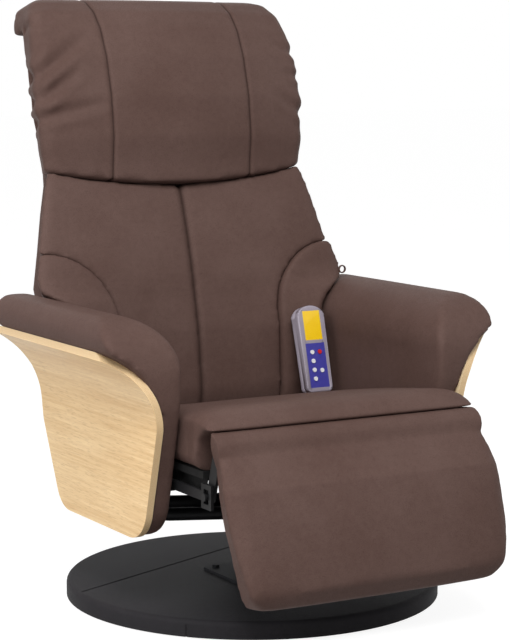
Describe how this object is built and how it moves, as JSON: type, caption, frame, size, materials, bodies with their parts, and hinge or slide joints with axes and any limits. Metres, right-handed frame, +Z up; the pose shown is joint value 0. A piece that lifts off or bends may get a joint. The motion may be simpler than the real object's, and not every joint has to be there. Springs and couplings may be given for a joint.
{
  "type": "massage recliner with footrest",
  "caption": "Upholstered swivel recliner with bent-ply arm shells, a leaning padded back, a swing-up footrest and a hand control for its massage motors.",
  "frame": {"origin": "floor point on the swivel axis, under the middle of the round base", "axes": "+Z up, +Y towards the back of the chair, +X to the sitter's left"},
  "size_m": [0.7466, 0.865, 1.0356],
  "materials": {
    "felt": "needled",
    "board": "raw plywood",
    "base_leather": "fine grain, matt",
    "black_steel": "powder coat",
    "bare_steel": "zinc plated",
    "dust_cloth": "non-woven",
    "leather": "fine grain, satin",
    "oak": "clear lacquer",
    "motor_plastic": "moulded",
    "webbing": "elastic webbing",
    "handset_grey": "satin",
    "screen_yellow": "printed window",
    "keypad_blue": "membrane",
    "key_white": "satin",
    "key_red": "satin"
  },
  "bodies": {
    "base": {"base_felt": "felt", "base_board": "board", "base_cover": "base_leather", "swivel_base_plate": "black_steel", "swivel_bearing": "bare_steel", "swivel_bolts": "bare_steel"},
    "chassis": {"swivel_hub": "black_steel", "cross_tube_front": "black_steel", "cross_tube_rear": "black_steel", "seat_rail_left": "board", "seat_rail_right": "board", "seat_front_rail": "board", "seat_rear_rail": "board", "seat_platform": "board", "dust_cover": "dust_cloth", "seat_cushion": "leather", "arm_panel_left": "oak", "arm_panel_right": "oak", "arm_pad_left": "leather", "arm_pad_right": "leather", "arm_brackets": "black_steel", "arm_screws": "bare_steel", "back_hinge_bracket_left": "black_steel", "back_hinge_bracket_right": "black_steel", "footrest_hinge_arms": "black_steel", "seat_motors": "motor_plastic", "control_box": "motor_plastic", "power_inlet": "motor_plastic"},
    "back": {"back_hinge_tube": "black_steel", "back_upright_left": "black_steel", "back_upright_right": "black_steel", "back_top_tube": "black_steel", "back_straps": "webbing", "back_shell": "leather", "back_cushion": "leather", "back_bolster_left": "leather", "back_bolster_right": "leather", "head_cushion": "leather", "lumbar_motors": "motor_plastic", "head_motors": "motor_plastic", "recline_levers": "black_steel", "lever_pins": "bare_steel", "sewn_tab": "leather"},
    "footrest": {"footrest_rod": "bare_steel", "footrest_board": "board", "footrest_cushion": "leather", "footrest_cranks": "black_steel", "crank_pins": "bare_steel"},
    "links": {"link_bar_left": "black_steel", "link_bar_right": "black_steel"},
    "handset": {"handset_front": "handset_grey", "handset_rear": "handset_grey", "handset_screen": "screen_yellow", "handset_keypad": "keypad_blue"},
    "key_power": {"key_power": "key_red"},
    "key_mode": {"key_mode": "key_white"},
    "key_head": {"key_head": "key_white"},
    "key_back": {"key_back": "key_white"},
    "key_seat": {"key_seat": "key_white"},
    "key_heat": {"key_heat": "key_white"}
  },
  "joints": [
    {"name": "swivel", "type": "hinge", "parent": "base", "child": "chassis", "pos_m": [0, 0, 0.1], "axis": [0, 0, 1], "continuous": true},
    {"name": "recline", "type": "hinge", "parent": "chassis", "child": "back", "pos_m": [0, 0.275, 0.385], "axis": [-1, 0, 0], "range_deg": [0, 35]},
    {"name": "footrest_lift", "type": "hinge", "parent": "chassis", "child": "footrest", "pos_m": [0, -0.298, 0.314], "axis": [-1, 0, 0], "range_deg": [0, 70]},
    {"name": "link_pivot", "type": "hinge", "parent": "back", "child": "links", "pos_m": [0, 0.275, 0.245], "axis": [-1, 0, 0], "range_deg": [-35, 0]},
    {"name": "handset_lift", "type": "slide", "parent": "chassis", "child": "handset", "axis": [0, 0, 1], "range_m": [0, 0.2]},
    {"name": "press_power", "type": "slide", "parent": "handset", "child": "key_power", "axis": [0, 0.9659, -0.2588], "range_m": [0, 0.001], "stiffness_N_per_m": 400, "springref_m": -0.0005},
    {"name": "press_mode", "type": "slide", "parent": "handset", "child": "key_mode", "axis": [0, 0.9659, -0.2588], "range_m": [0, 0.001], "stiffness_N_per_m": 400, "springref_m": -0.0005},
    {"name": "press_head", "type": "slide", "parent": "handset", "child": "key_head", "axis": [0, 0.9659, -0.2588], "range_m": [0, 0.001], "stiffness_N_per_m": 400, "springref_m": -0.0005},
    {"name": "press_back", "type": "slide", "parent": "handset", "child": "key_back", "axis": [0, 0.9659, -0.2588], "range_m": [0, 0.001], "stiffness_N_per_m": 400, "springref_m": -0.0005},
    {"name": "press_seat", "type": "slide", "parent": "handset", "child": "key_seat", "axis": [0, 0.9659, -0.2588], "range_m": [0, 0.001], "stiffness_N_per_m": 400, "springref_m": -0.0005},
    {"name": "press_heat", "type": "slide", "parent": "handset", "child": "key_heat", "axis": [0, 0.9659, -0.2588], "range_m": [0, 0.001], "stiffness_N_per_m": 400, "springref_m": -0.0005}
  ],
  "couplings": [
    {"joint": "footrest_lift", "follows": "recline", "ratio": 2},
    {"joint": "link_pivot", "follows": "recline", "ratio": -1}
  ]
}
